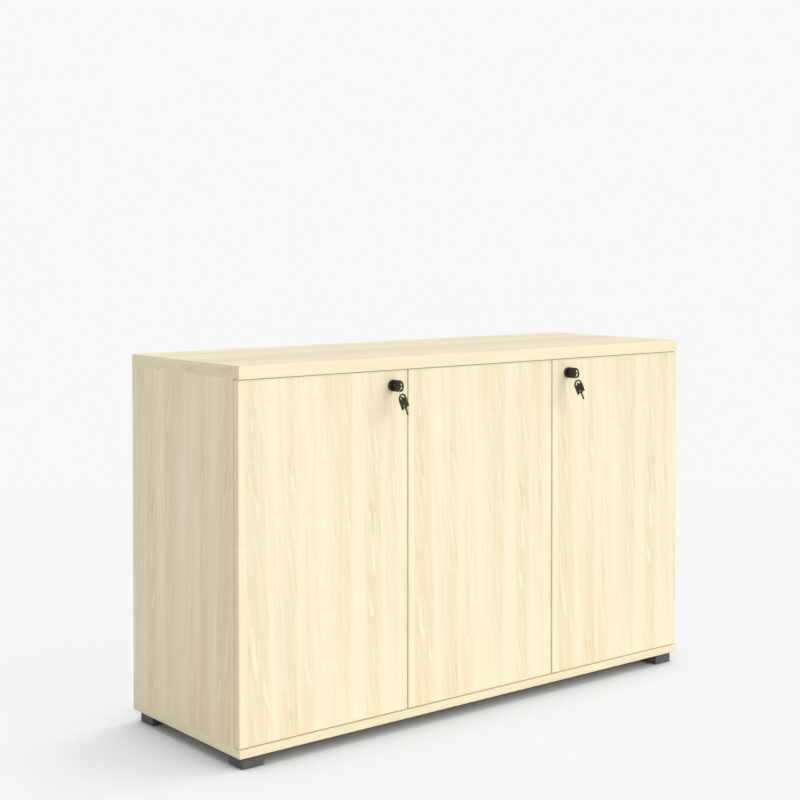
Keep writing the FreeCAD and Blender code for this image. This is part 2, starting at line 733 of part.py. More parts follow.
def make_key_head():
    half = KEY_THICKNESS / 2
    body = key_block((KEY_FORK, KEY_ARCH_CENTRE), KEY_WIDTH / 2, half)
    head = joined([body, key_bar(KEY_WIDTH / 2, KEY_ARCH_CENTRE, half)])
    head = eased(head, KEY_EASE, on_key_outline)
    eye = key_bar(KEY_EYE_RADIUS, KEY_ARCH_CENTRE, half)
    eye = eye.common(key_block((KEY_EYE_START, KEY_EYE_END), KEY_WIDTH / 2, half))
    tongue_radius = KEY_TONGUE_WIDTH / 2
    tongue_round = KEY_EYE_START + KEY_TONGUE_LENGTH - tongue_radius
    eye = eye.cut(key_block((KEY_EYE_START, tongue_round), tongue_radius, half))
    eye = eye.cut(key_bar(tongue_radius, tongue_round, half))
    head = head.cut(eye)
    for side in (-1, 1):
        notch = key_bar(KEY_NOTCH_RADIUS, KEY_FORK - KEY_NOTCH_OUTSIDE, half)
        head = head.cut(notch.translated(UP * (side * KEY_NOTCH_CENTRE)))
    slot_half = BLADE_THICKNESS / 2 + BLADE_CLEARANCE
    slot_end = BLADE_EYE_RADIUS + BLADE_CLEARANCE
    head = head.cut(key_block((KEY_FORK, slot_end), KEY_WIDTH / 2, slot_half))
    return head.cut(key_bar(RIVET_RADIUS + RIVET_CLEARANCE, 0, half))


def on_key_outline(middle):
    """Whether an edge lies on the outline of either face, apart from the fork's end."""
    on_face = abs(abs(middle.x) - KEY_THICKNESS / 2) < KEY_EASE / 2
    return on_face and -middle.y > KEY_FORK + KEY_EASE


def make_key_blade():
    """The blade with its round eye, and the rivet that it turns on, as two solids."""
    half = BLADE_THICKNESS / 2
    tip = KEY_FORK - BLADE_LENGTH
    shank = key_block((tip + BLADE_TIP, 0), BLADE_WIDTH / 2, half)
    point = [
        vector(-half, -(tip + BLADE_TIP), -BLADE_WIDTH / 2),
        vector(-half, -tip, -BLADE_TIP_WIDTH / 2),
        vector(-half, -tip, BLADE_TIP_WIDTH / 2),
        vector(-half, -(tip + BLADE_TIP), BLADE_WIDTH / 2),
    ]
    nose = Part.Face(Part.makePolygon(point + point[:1])).extrude(vector(BLADE_THICKNESS, 0, 0))
    blade = joined([shank, nose, key_bar(BLADE_EYE_RADIUS, 0, half)])
    for number in range(BLADE_NOTCHES):
        along = tip + BLADE_TIP + BLADE_NOTCH_PITCH * (number + 1)
        notch = key_bar(BLADE_NOTCH, along, half).translated(UP * (BLADE_WIDTH / 2))
        blade = blade.cut(notch)
    blade = blade.cut(key_bar(RIVET_RADIUS + PIVOT_SEAT, 0, half))
    seat = KEY_THICKNESS / 2 + RIVET_CLEARANCE
    rivet = key_bar(RIVET_RADIUS, 0, seat)
    heads = key_bar(RIVET_HEAD_RADIUS, 0, seat + RIVET_HEAD).cut(key_bar(RIVET_HEAD_RADIUS, 0, seat))
    return [blade, joined([rivet, *heads.Solids])]


def set_in_lock(shape, lock):
    return shape.translated(on_lock(lock, DOOR_FACE - RIVET_OUT))


RIM_OUTER = math.sqrt((KEY_WIDTH / 2) ** 2 - RING_FROM_ARCH_CENTRE ** 2)
RIM_INNER = math.sqrt(KEY_EYE_RADIUS ** 2 - RING_FROM_ARCH_CENTRE ** 2)
RIM_MIDDLE = (RIM_OUTER + RIM_INNER) / 2
RIM_CORNER = math.hypot(KEY_THICKNESS / 2, (RIM_OUTER - RIM_INNER) / 2)
RING_BELOW_RIM = RING_RADIUS - RING_WIRE - RIM_CORNER - RING_CLEARANCE


def ring_pivot(lock):
    """The middle of the key head's rim, which the ring hangs round."""
    return on_lock(lock, DOOR_FACE - RING_OUT) - UP * RIM_MIDDLE


def make_ring(lock):
    return Part.makeTorus(RING_RADIUS, RING_WIRE, ring_pivot(lock) - UP * RING_BELOW_RIM, OUTWARD)


def spare_pivot(lock):
    """The lowest point of the ring's wire, which the spare key hangs on."""
    return ring_pivot(lock) - UP * (RING_BELOW_RIM + RING_RADIUS)


def spare_rivet(lock):
    hang = vector(0, -math.sin(TILT), -math.cos(TILT)) * SPARE_HANG
    return spare_pivot(lock) + hang


def set_on_ring(shape, lock):
    """A key piece hung on the ring by its eye, its blade leaning away from the door."""
    turned = shape.copy()
    turned.rotate(vector(0, 0, 0), vector(1, 0, 0), -90 - SPARE_TILT)
    return turned.translated(spare_rivet(lock))


# Slide bolt

BOLT_AXIS = DOOR_BACK + BOLT_OFF_DOOR
BOLT_REST_TOP = DOOR_TOP - BOLT_TOP_GAP
BOLT_CASE_TOP = DOOR_TOP - BOLT_CASE_FROM_TOP
BOLT_CASE_BOTTOM = BOLT_CASE_TOP - BOLT_CASE_HEIGHT
BOLT_KNOB_AT = BOLT_CASE_BOTTOM + BOLT_KNOB_HEIGHT
BOLT_CASE_BACK = DOOR_BACK + BOLT_CASE_DEPTH


def bolt_bar(radius, bottom, top):
    return rod(radius, vector(BOLT_X, BOLT_AXIS, bottom), vector(BOLT_X, BOLT_AXIS, top))


def bolt_screw_seats():
    y = DOOR_BACK + BOLT_CASE_BASE
    z = (BOLT_CASE_BOTTOM + BOLT_CASE_TOP) / 2
    return [vector(BOLT_X + step, y, z) for step in (-BOLT_SCREW_SPACING / 2, BOLT_SCREW_SPACING / 2)]


def make_bolt_case():
    half = BOLT_CASE_WIDTH / 2
    half_base = BOLT_CASE_BASE_WIDTH / 2
    z = (BOLT_CASE_BOTTOM, BOLT_CASE_TOP)
    case = block((BOLT_X - half, BOLT_X + half), (DOOR_BACK, BOLT_CASE_BACK), z)
    case = eased(case, BOLT_CASE_EASE, lambda middle: middle.y == BOLT_CASE_BACK)
    base = block((BOLT_X - half_base, BOLT_X + half_base), (DOOR_BACK, DOOR_BACK + BOLT_CASE_BASE), z)
    case = joined([case, base]).cut(bolt_bar(BOLT_RADIUS + BOLT_CLEARANCE, *z))
    slot_half = BOLT_KNOB_RADIUS + BOLT_SOCKET_CLEARANCE
    slot_z = (BOLT_KNOB_AT - slot_half, BOLT_KNOB_AT + BOLT_TRAVEL + slot_half)
    case = case.cut(block((BOLT_X - slot_half, BOLT_X + slot_half), (BOLT_AXIS, BOLT_CASE_BACK), slot_z))
    for seat in bolt_screw_seats():
        case = case.cut(screw_hole(BOLT_SCREW, seat, OUTWARD, BOLT_CASE_BASE))
    return case


def make_bolt():
    bar = bolt_bar(BOLT_RADIUS, BOLT_CASE_BOTTOM + BOLT_TAIL, BOLT_REST_TOP)
    bar = eased(bar, BOLT_CASE_EASE, lambda middle: abs(middle.z - BOLT_REST_TOP) < BOLT_CASE_EASE / 2)
    stem_end = vector(BOLT_X, BOLT_CASE_BACK + BOLT_KNOB_REACH, BOLT_KNOB_AT)
    stem = rod(BOLT_KNOB_RADIUS, vector(BOLT_X, BOLT_AXIS, BOLT_KNOB_AT), stem_end)
    head = rod(BOLT_KNOB_HEAD_RADIUS, stem_end - INWARD * BOLT_KNOB_HEAD, stem_end)
    return joined([bar, stem, head])


def bolt_socket():
    """The hole in the top's underside that the bolt slides into."""
    top = BOLT_REST_TOP + BOLT_TRAVEL + BOLT_SOCKET_CLEARANCE
    return bolt_bar(BOLT_RADIUS + BOLT_SOCKET_CLEARANCE, TOP_UNDER, top)


# Boards

def back_groove():
    """The groove for the back panel, as one block through all the boards it is cut in."""
    x = SIDE - CARCASS_BOARD + GROOVE_DEPTH
    y = (BACK_PANEL_FACE - GROOVE_CLEARANCE, BACK_PANEL_FACE + BACK_BOARD + GROOVE_CLEARANCE)
    return block((-x, x), y, (BOTTOM_FACE - GROOVE_DEPTH, TOP_UNDER + GROOVE_DEPTH))


def make_back_panel():
    x = SIDE - CARCASS_BOARD + GROOVE_DEPTH - GROOVE_CLEARANCE
    y = (BACK_PANEL_FACE, BACK_PANEL_FACE + BACK_BOARD)
    reach = GROOVE_DEPTH - GROOVE_CLEARANCE
    return block((-x, x), y, (BOTTOM_FACE - reach, TOP_UNDER + reach))


def make_top():
    top = block((-SIDE, SIDE), (FRONT, BACK), (TOP_UNDER, HEIGHT))
    top = eased(top, EDGE_EASE, lambda middle: middle.z == HEIGHT)
    cuts = fitting_holes() + [back_groove(), bolt_socket()]
    for lock in LOCKS:
        cuts += [screw_hole(STRIKE_SCREW, seat, UP, STRIKE_THICKNESS) for seat in strike_screw_seats(lock)]
    return top.cut(cuts)


def make_bottom():
    bottom = block((-SIDE, SIDE), (FRONT, BACK), (BOTTOM_UNDER, BOTTOM_FACE))
    bottom = eased(bottom, PANEL_EASE, lambda middle: middle.z == BOTTOM_UNDER)
    cuts = fitting_holes() + [back_groove()]
    for centre in foot_centres().values():
        through = FOOT_HEIGHT - FOOT_COUNTERBORE
        cuts += [screw_hole(FOOT_SCREW, seat, UP, through) for seat in foot_screw_seats(centre)]
    return bottom.cut(cuts)


def hinge_holes_in_boards():
    return [hole for door in DOORS for hole in on_hinges(door, plate_screw_holes(door))]


def make_side(name):
    start, _ = UPRIGHTS[name]
    outer = min(start, start + CARCASS_BOARD, key=lambda x: SIDE - abs(x))
    side = block((start, start + CARCASS_BOARD), (CARCASS_FRONT, BACK), (BOTTOM_FACE, TOP_UNDER))
    side = eased(side, PANEL_EASE, lambda middle: middle.x == outer and BOTTOM_FACE < middle.z < TOP_UNDER)
    return side.cut(fitting_holes() + pin_holes() + hinge_holes_in_boards() + [back_groove()])


def make_partition():
    start, _ = UPRIGHTS["partition_panel"]
    y = (CARCASS_FRONT, BACK_PANEL_FACE - GROOVE_CLEARANCE)
    partition = block((start, start + CARCASS_BOARD), y, (BOTTOM_FACE, TOP_UNDER))
    return partition.cut(fitting_holes() + pin_holes() + hinge_holes_in_boards())


def make_door(name):
    first, last, _ = DOORS[name]
    door = block((first, last), (DOOR_FACE, DOOR_BACK), (DOOR_BOTTOM, DOOR_TOP))
    door = door.makeFillet(EDGE_EASE, door.Edges)
    cuts = on_hinges(name, hinge_cuts_in_door())
    if name in LOCKS:
        cuts.append(lock_bar(name, BARREL_RADIUS + BARREL_CLEARANCE, DOOR_FACE, DOOR_BACK))
    else:
        cuts += [screw_hole(BOLT_SCREW, seat, OUTWARD, BOLT_CASE_BASE) for seat in bolt_screw_seats()]
    return door.cut(cuts)


# Every node of the cabinet, each a list of separate solids

def carcass_nodes():
    nodes = {
        "top_panel": [make_top()],
        "bottom_panel": [make_bottom()],
        "left_side_panel": [make_side("left_side_panel")],
        "right_side_panel": [make_side("right_side_panel")],
        "partition_panel": [make_partition()],
        "back_panel": [make_back_panel()],
        "left_shelf": [make_shelf("left")],
        "right_shelf": [make_shelf("right")],
        "shelf_pins": [make_pin(place) for place in pin_places([0])],
        "cam_fittings": [make_cam(place) for place in tie_places()],
        "tie_bolts": [make_tie(place) for place in tie_places()],
        "wood_dowels": [dowel(place, 0, 0) for place in dowel_places()],
    }
    centres = foot_centres()
    nodes.update({name: [make_foot(centre)] for name, centre in centres.items()})
    seats = [seat for centre in centres.values() for seat in foot_screw_seats(centre)]
    nodes["foot_screws"] = [screw(FOOT_SCREW, seat, UP, FOOT_HEIGHT - FOOT_COUNTERBORE) for seat in seats]
    return nodes


def door_nodes():
    arm = make_arm()
    cup = make_cup()
    pin = pivot_bar(PIVOT_PIN_RADIUS, PIVOT_PIN_LENGTH)
    cup_screws = [screw(CUP_SCREW, seat, OUTWARD, CUP_FLANGE) for seat in cup_screw_seats()]
    nodes = {"hinge_arms": [], "hinge_plates": [], "hinge_plate_screws": [], "hinge_arm_screws": []}
    for door in DOORS:
        nodes[f"{door}_door"] = [make_door(door)]
        nodes[f"{door}_hinge_cups"] = on_hinges(door, [cup])
        nodes[f"{door}_hinge_pins"] = on_hinges(door, [pin])
        nodes[f"{door}_cup_screws"] = on_hinges(door, cup_screws)
        nodes["hinge_arms"] += on_hinges(door, [arm])
        nodes["hinge_plates"] += on_hinges(door, [make_plate(door)])
        nodes["hinge_plate_screws"] += on_hinges(door, plate_screws(door))
        nodes["hinge_arm_screws"] += on_hinges(door, [make_arm_screw(door)])
    nodes["door_bolt_case"] = [make_bolt_case()]
    nodes["door_bolt"] = [make_bolt()]
    seats = bolt_screw_seats()
    nodes["door_bolt_screws"] = [screw(BOLT_SCREW, seat, OUTWARD, BOLT_CASE_BASE) for seat in seats]
    return nodes


def lock_nodes():
    head = make_key_head()
    blade = make_key_blade()
    nodes = {"strike_plate_screws": []}
    for lock in LOCKS:
        nodes[f"{lock}_lock_barrel"] = [make_barrel(lock)]
        nodes[f"{lock}_lock_nut"] = [make_lock_nut(lock)]
        nodes[f"{lock}_lock_plug"] = [make_plug(lock)]
        nodes[f"{lock}_lock_cam"] = [make_cam_plate(lock)]
        nodes[f"{lock}_cam_screw"] = [make_cam_screw(lock)]
        nodes[f"{lock}_strike_plate"] = [make_strike(lock)]
        seats = strike_screw_seats(lock)
        nodes["strike_plate_screws"] += [screw(STRIKE_SCREW, seat, UP, STRIKE_THICKNESS) for seat in seats]
        nodes[f"{lock}_key_head"] = [set_in_lock(head, lock)]
        nodes[f"{lock}_key_blade"] = [set_in_lock(shape, lock) for shape in blade]
        nodes[f"{lock}_key_ring"] = [make_ring(lock)]
        nodes[f"{lock}_spare_key_head"] = [set_on_ring(head, lock)]
        nodes[f"{lock}_spare_key_blade"] = [set_on_ring(shape, lock) for shape in blade]
    return nodes


def main():
    os.makedirs("parts", exist_ok=True)
    nodes = {**carcass_nodes(), **door_nodes(), **lock_nodes()}
    for name, solids in nodes.items():
        shape = solids[0] if len(solids) == 1 else Part.makeCompound(solids)
        shape.exportStep(f"parts/{name}.step")
        state = "valid" if shape.isValid() else "not valid"
        print(name, len(shape.Solids), "solids", round(shape.Volume, 1), "mm3", state)
    print(len(nodes), "nodes")


main()
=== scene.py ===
# %% [markdown]
# # A low office cabinet with three doors
# The construction comes in as a fixed frame: every board, hinge, lock and key at its real size, in metres.
# This lesson dresses it. It sets up the camera, the light and the floor, mixes the finishes, and models the
# small pieces that only matter to the eye, such as the edge bands that close the cut sides of each board.

# %% Load the frame
import math

import bmesh
import bpy
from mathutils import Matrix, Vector


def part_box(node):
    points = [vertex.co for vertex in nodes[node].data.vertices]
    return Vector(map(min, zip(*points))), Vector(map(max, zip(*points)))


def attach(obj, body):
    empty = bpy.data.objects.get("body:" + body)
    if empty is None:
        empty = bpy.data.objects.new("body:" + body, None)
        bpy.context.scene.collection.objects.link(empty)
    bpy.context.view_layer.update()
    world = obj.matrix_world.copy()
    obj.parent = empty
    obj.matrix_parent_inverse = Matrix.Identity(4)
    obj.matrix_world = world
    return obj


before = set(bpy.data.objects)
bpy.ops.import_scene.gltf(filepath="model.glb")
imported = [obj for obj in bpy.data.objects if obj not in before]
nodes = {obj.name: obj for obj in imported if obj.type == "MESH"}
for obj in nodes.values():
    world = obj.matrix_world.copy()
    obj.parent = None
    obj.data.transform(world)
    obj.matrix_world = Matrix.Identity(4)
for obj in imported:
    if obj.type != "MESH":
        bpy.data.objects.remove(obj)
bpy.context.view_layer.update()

MM = 0.001
bpy.ops.object.select_all(action="DESELECT")

# %% [markdown]
# ## Camera
# The picture was taken from the front left, a little above the top board, with a long lens. The upright edges
# stay nearly parallel in it, which is what a lens that is shifted down gives. The cabinet could instead be
# caught by tilting the camera, but then its upright edges would lean. A little of both keeps the shift small.

# %% Camera
CAMERA_PLACE = (-2.1221, -2.559, 0.9751)
CAMERA_TURN = 39.113
CAMERA_TILT = 1.355
CAMERA_LENS = 69.195
CAMERA_SHIFT = (-0.0189, -0.1505)
LEVEL = 90

bpy.ops.object.camera_add(location=CAMERA_PLACE)
camera = bpy.context.object
camera.rotation_euler = (math.radians(LEVEL - CAMERA_TILT), 0, math.radians(-CAMERA_TURN))
camera.data.lens = CAMERA_LENS
camera.data.shift_x, camera.data.shift_y = CAMERA_SHIFT
bpy.context.scene.camera = camera
bpy.context.scene.view_settings.view_transform = "Standard"
print("camera at", CAMERA_PLACE)

# %% [markdown]
# ## Helpers for node trees
# Every finish below is a small tree of nodes. A few short helpers keep each tree readable: they add a node
# and fill its sockets with numbers or links, mix two colours, stretch a value, and make cloudy noise of a
# given size along each axis.

# %% Node helpers
MIX_FACTOR, MIX_FIRST, MIX_SECOND, MIX_RESULT = 0, 6, 7, 2
NOISE_DETAIL = 2.0


def add_node(tree, kind, sockets=None, **properties):
    """A new node with its properties set, and with numbers or links put into its sockets."""
    node = tree.nodes.new(kind)
    for name, value in properties.items():
        setattr(node, name, value)
    for name, value in (sockets or {}).items():
        if isinstance(value, bpy.types.NodeSocket):
            tree.links.new(value, node.inputs[name])
        else:
            node.inputs[name].default_value = value
    return node


def mix_colours(tree, factor, first, second):
    sockets = {MIX_FACTOR: factor, MIX_FIRST: first, MIX_SECOND: second}
    return add_node(tree, "ShaderNodeMix", sockets, data_type="RGBA").outputs[MIX_RESULT]


def arithmetic(tree, operation, first, second):
    return add_node(tree, "ShaderNodeMath", {0: first, 1: second}, operation=operation).outputs[0]


def remapped(tree, value, low, high, to_low=0.0, to_high=1.0):
    """A value stretched so that low becomes to_low and high becomes to_high, with smooth ends."""
    sockets = {"Value": value, "From Min": low, "From Max": high, "To Min": to_low, "To Max": to_high}
    return add_node(tree, "ShaderNodeMapRange", sockets, interpolation_type="SMOOTHSTEP").outputs[0]


def sized_noise(tree, place, size, lean=0.0):
    """Cloudy noise whose clouds have a size in metres along each axis, leaning in the plane of X and Y."""
    sockets = {"Vector": place, "Scale": size, "Rotation": (0, 0, math.radians(lean))}
    stretched = add_node(tree, "ShaderNodeMapping", sockets, vector_type="TEXTURE").outputs[0]
    sockets = {"Vector": stretched, "Scale": 1.0, "Detail": NOISE_DETAIL}
    return add_node(tree, "ShaderNodeTexNoise", sockets).outputs[0]


print("noise has", NOISE_DETAIL, "finer layers")

# %% [markdown]
# ## Colours
# A colour is easiest to judge as it looks on a screen, where each part runs from 0 to 255. Shaders reckon in
# amounts of light instead, and a screen's scale is not even in those: it bends, with a straight piece at the
# dark end. The numbers below are those of the common screen standard.

# %% Screen colours
FULL_PART = 255
DARK_END, DARK_SLOPE = 0.04045, 12.92
BEND_OFFSET, BEND_POWER = 0.055, 2.4


def light_amount(part):
    """The amount of light of one part of a screen colour, both from 0 to 1."""
    if part <= DARK_END:
        return part / DARK_SLOPE
    return ((part + BEND_OFFSET) / (1 + BEND_OFFSET)) ** BEND_POWER


def colour(red, green, blue):
    """A colour written as it looks on a screen, as the values that shaders take."""
    return [light_amount(part / FULL_PART) for part in (red, green, blue)] + [1.0]


WHITE = colour(FULL_PART, FULL_PART, FULL_PART)
print("white is", WHITE)

# %% [markdown]
# ## Light
# The cabinet stands in an even studio: a bright sky all round, and one broad lamp in front, to the right and
# above. The doors face the lamp, the top catches it at a slant, and the left side only sees the sky and the
# floor. A sun with a wide disc is used for the lamp, because its light is as strong on the far door as on
# the near one. The sky shows the camera, and anything glossy, the plain pale backdrop.

# %% Sky and lamp
BACKDROP = colour(248, 248, 248)
SKY_LEVEL = 0.655
LAMP_LEVEL = 0.458
LAMP_DISC = 50
LAMP_DIRECTION = Vector((0.6, -1.0, 0.71))


def seen_directly(tree):
    """A mask that is one for rays from the camera, in mirrors and through glass."""
    path = add_node(tree, "ShaderNodeLightPath").outputs
    mirrored = arithmetic(tree, "MAXIMUM", path["Is Glossy Ray"], path["Is Transmission Ray"])
    return arithmetic(tree, "MAXIMUM", path["Is Camera Ray"], mirrored)


def make_sky():
    sky = bpy.data.worlds.new("studio_sky")
    sky.use_nodes = True
    tree = sky.node_tree
    tree.nodes.clear()
    lighting = add_node(tree, "ShaderNodeBackground", {"Strength": SKY_LEVEL, "Color": WHITE})
    backdrop = add_node(tree, "ShaderNodeBackground", {"Color": BACKDROP})
    mixed = add_node(tree, "ShaderNodeMixShader", {0: seen_directly(tree)})
    tree.links.new(lighting.outputs[0], mixed.inputs[1])
    tree.links.new(backdrop.outputs[0], mixed.inputs[2])
    add_node(tree, "ShaderNodeOutputWorld", {"Surface": mixed.outputs[0]})
    return sky


bpy.context.scene.world = make_sky()
bpy.ops.object.light_add(type="SUN")
lamp = bpy.context.object
lamp.rotation_mode = "QUATERNION"
lamp.rotation_quaternion = LAMP_DIRECTION.to_track_quat("Z", "Y")
lamp.data.energy = math.pi * LAMP_LEVEL
lamp.data.angle = math.radians(LAMP_DISC)
print("lamp strength", round(lamp.data.energy, 3))

# %% [markdown]
# ## Floor
# The floor is a plain pale sheet that runs out of sight. Close to the cabinet it is matt paint, with painted
# shade that makes its colour darker where the bottom board hangs over it, and it keeps the deep shadow. Where
# little stands over it, it turns into nearly the plain tone of the backdrop, and far out no horizon shows at
# all. On the side away from the lamp a wide, soft painted shadow is laid into that plain tone: a place there is
# shaded by how much of the cabinet it meets when it looks along the floor to the right, where the light comes
# from.

# %% Floor
FLOOR_SIZE = 40.0
FLOOR_PAINTED_SHADE = colour(194, 198, 208)
FLOOR_OPEN = colour(250, 252, 255)
FLOOR_BOUNCE = colour(232, 232, 232)
FADE_START = 1.5
FADE_END = 3.2
SHADOW_REACH = 0.2
SHADOW_RANGE = (0.2, 0.97)
PLAIN_SHARE = 0.93
FLOOR_BESIDE = colour(224, 224, 225)
BESIDE_REACH = 0.6
BESIDE_RANGE = (0.5, 0.78)
UPWARD = (0.0, 0.0, 1.0)
TO_THE_RIGHT = (0.94, 0.0, 0.34)


def open_share(tree, reach, direction):
    """How much is open within reach of a place that looks in a direction, from 0 to 1."""
    normal = add_node(tree, "ShaderNodeCombineXYZ", dict(zip("XYZ", direction))).outputs[0]
    return add_node(tree, "ShaderNodeAmbientOcclusion", {"Distance": reach, "Normal": normal}).outputs["AO"]


def make_floor_paint():
    paint = bpy.data.materials.new("floor_paint")
    paint.use_nodes = True
    tree = paint.node_tree
    tree.nodes.clear()
    direct = seen_directly(tree)
    place = add_node(tree, "ShaderNodeTexCoord").outputs["Object"]
    distance = add_node(tree, "ShaderNodeVectorMath", {0: place}, operation="LENGTH").outputs["Value"]
    far = remapped(tree, distance, FADE_START, FADE_END)
    near = remapped(tree, open_share(tree, SHADOW_REACH, UPWARD), *SHADOW_RANGE)
    plain_near = arithmetic(tree, "MULTIPLY", near, PLAIN_SHARE)
    share = arithmetic(tree, "MULTIPLY", direct, arithmetic(tree, "MAXIMUM", far, plain_near))
    # painted shade: the floor's colour turns darker where little is open above it, under and beside the cabinet
    seen_with_painted_shade = mix_colours(tree, near, FLOOR_PAINTED_SHADE, FLOOR_OPEN)
    paint_and_shade_tone = mix_colours(tree, direct, FLOOR_BOUNCE, seen_with_painted_shade)
    matt = add_node(tree, "ShaderNodeBsdfDiffuse", {"Color": paint_and_shade_tone})
    # painted shadow: the backdrop tone turns grey where a place meets the cabinet to its right
    beside = remapped(tree, open_share(tree, BESIDE_REACH, TO_THE_RIGHT), *BESIDE_RANGE)
    plain_tone = mix_colours(tree, beside, FLOOR_BESIDE, BACKDROP)
    plain = add_node(tree, "ShaderNodeEmission", {"Color": plain_tone})
    mixed = add_node(tree, "ShaderNodeMixShader", {0: share})
    tree.links.new(matt.outputs[0], mixed.inputs[1])
    tree.links.new(plain.outputs[0], mixed.inputs[2])
    add_node(tree, "ShaderNodeOutputMaterial", {"Surface": mixed.outputs[0]})
    return paint


bpy.ops.mesh.primitive_plane_add(size=FLOOR_SIZE)
floor = bpy.context.object
floor.name = "floor"
floor.data.materials.append(make_floor_paint())
print("floor fades out between", FADE_START, "and", FADE_END, "m")

# %% [markdown]
# ## Maple grain
# The boards are faced with a pale maple print. Seen close, it has broad bands of cream and tan along the grain,
# with narrower streaks, fine lines and short ticks inside them. In the tan bands there are thin darker strokes
# and small bright flecks that lean a little. A photograph of wood could be laid on, but its edges would show
# on every board. Here the print is worked out in the board's own depth, so it goes round corners, and one
# group of nodes serves every board. The group takes a place as three distances: across the grain, along the
# grain, and through the board.

# %% Maple grain group
WANDER_SIZE = (0.2, 0.38, 0.2)
WANDER_WIDTH = 0.011
BAND_SIZE = (0.05, 2.0, 0.05)
STREAK_SIZE = (0.014, 0.4, 0.014)
STREAK_LEAN = 2.0
LINE_SIZE = (0.0045, 0.14, 0.0045)
TICK_SIZE = (0.0028, 0.012, 0.0028)
BAND_SHARE, STREAK_SHARE, LINE_SHARE, TICK_SHARE = 0.42, 0.23, 0.2, 0.15
STROKE_SIZE = (0.008, 0.12, 0.008)
STROKE_LEAN = 7.0
FLECK_SIZE = (0.011, 0.09, 0.011)
FLECK_LEAN = 9.0
PORE_SIZE = (0.0007, 0.022, 0.0007)
MIDDLE_GREY = 0.5
CLOUD_RANGE = (0.36, 0.64)
BAND_RANGE = (0.41, 0.59)
RARE_CLOUDS = (0.54, 0.74)
SHEEN_RANGE = (0.44, 0.56)


def new_group(name, inputs, outputs):
    """An empty node group with named sockets, and its inner ends."""
    group = bpy.data.node_groups.new(name, "ShaderNodeTree")
    for label, kind in inputs.items():
        group.interface.new_socket(label, in_out="INPUT", socket_type=f"NodeSocket{kind}")
    for label, kind in outputs.items():
        group.interface.new_socket(label, in_out="OUTPUT", socket_type=f"NodeSocket{kind}")
    start = group.nodes.new("NodeGroupInput").outputs
    end = group.nodes.new("NodeGroupOutput").inputs
    return group, start, end


SURFACE = {"Color": "Color", "Roughness": "Float", "Height": "Float"}


def weighted(tree, *pairs):
    """The sum of values, each times its share."""
    total = 0.0
    for value, share in pairs:
        sockets = {0: value, 1: share, 2: total}
        total = add_node(tree, "ShaderNodeMath", sockets, operation="MULTIPLY_ADD").outputs[0]
    return total


def make_maple_grain():
    inputs = {"Place": "Vector", "Cream": "Color", "Tan": "Color", "Stroke": "Color", "Fleck": "Color"}
    group, start, end = new_group("maple_grain", inputs, SURFACE)
    wander = arithmetic(group, "SUBTRACT", sized_noise(group, start["Place"], WANDER_SIZE), MIDDLE_GREY)
    sideways = arithmetic(group, "MULTIPLY", wander, WANDER_WIDTH)
    shift = add_node(group, "ShaderNodeCombineXYZ", {"X": sideways}).outputs[0]
    place = add_node(group, "ShaderNodeVectorMath", {0: start["Place"], 1: shift}, operation="ADD").outputs[0]
    bands = remapped(group, sized_noise(group, place, BAND_SIZE), *BAND_RANGE)
    streaks = remapped(group, sized_noise(group, place, STREAK_SIZE, lean=STREAK_LEAN), *CLOUD_RANGE)
    lines = remapped(group, sized_noise(group, place, LINE_SIZE), *CLOUD_RANGE)
    ticks = remapped(group, sized_noise(group, place, TICK_SIZE), *CLOUD_RANGE)
    layers = (bands, BAND_SHARE), (streaks, STREAK_SHARE), (lines, LINE_SHARE), (ticks, TICK_SHARE)
    pale = weighted(group, *layers)
    face = mix_colours(group, pale, start["Tan"], start["Cream"])
    strokes = remapped(group, sized_noise(group, place, STROKE_SIZE, lean=STROKE_LEAN), *RARE_CLOUDS)
    dark = arithmetic(group, "SUBTRACT", 1.0, bands)
    face = mix_colours(group, arithmetic(group, "MULTIPLY", strokes, dark), face, start["Stroke"])
    flecks = remapped(group, sized_noise(group, place, FLECK_SIZE, lean=FLECK_LEAN), *RARE_CLOUDS)
    face = mix_colours(group, arithmetic(group, "MULTIPLY", flecks, dark), face, start["Fleck"])
    pores = sized_noise(group, place, PORE_SIZE)
    group.links.new(face, end["Color"])
    group.links.new(remapped(group, pores, *CLOUD_RANGE, *SHEEN_RANGE), end["Roughness"])
    group.links.new(pores, end["Height"])
    return group


maple_grain = make_maple_grain()
print("maple grain nodes:", len(maple_grain.nodes))

# %% [markdown]
# ## Putting a surface into a finish
# Each finish is one shader that gets its colour, its sheen and a slight bump from a group such as the grain.
# The nodes could be laid out anew for every finish, but the links are always the same, so a helper draws them.
# The bump keeps the sheen from looking like glass.

# %% Surface helpers
BUMP_STRENGTH = 0.12


def place_from(tree, middle):
    """Places on a piece, read from its middle."""
    place = add_node(tree, "ShaderNodeTexCoord").outputs["Object"]
    return add_node(tree, "ShaderNodeVectorMath", {0: place, 1: middle}, operation="SUBTRACT").outputs[0]


def grain_place(tree, axes, middle):
    """Places on a board as distances across, along and through its grain."""
    parts = add_node(tree, "ShaderNodeSeparateXYZ", {0: place_from(tree, middle)}).outputs
    sockets = {socket: parts[axis] for socket, axis in zip("XYZ", axes)}
    return add_node(tree, "ShaderNodeCombineXYZ", sockets).outputs[0]


def new_finish(name):
    """A material with one principled shader, as its node tree and that shader."""
    finish = bpy.data.materials.new(name)
    finish.use_nodes = True
    return finish, finish.node_tree, finish.node_tree.nodes["Principled BSDF"]


def add_surface(tree, shader, group, place, values, bump):
    """Puts a surface group into a material and links what it gives to the shader."""
    surface = add_node(tree, "ShaderNodeGroup", {"Place": place, **values}, node_tree=group).outputs
    tree.links.new(surface["Color"], shader.inputs["Base Color"])
    tree.links.new(surface["Roughness"], shader.inputs["Roughness"])
    sockets = {"Height": surface["Height"], "Strength": BUMP_STRENGTH, "Distance": bump}
    tree.links.new(add_node(tree, "ShaderNodeBump", sockets).outputs[0], shader.inputs["Normal"])


print("bump strength", BUMP_STRENGTH)

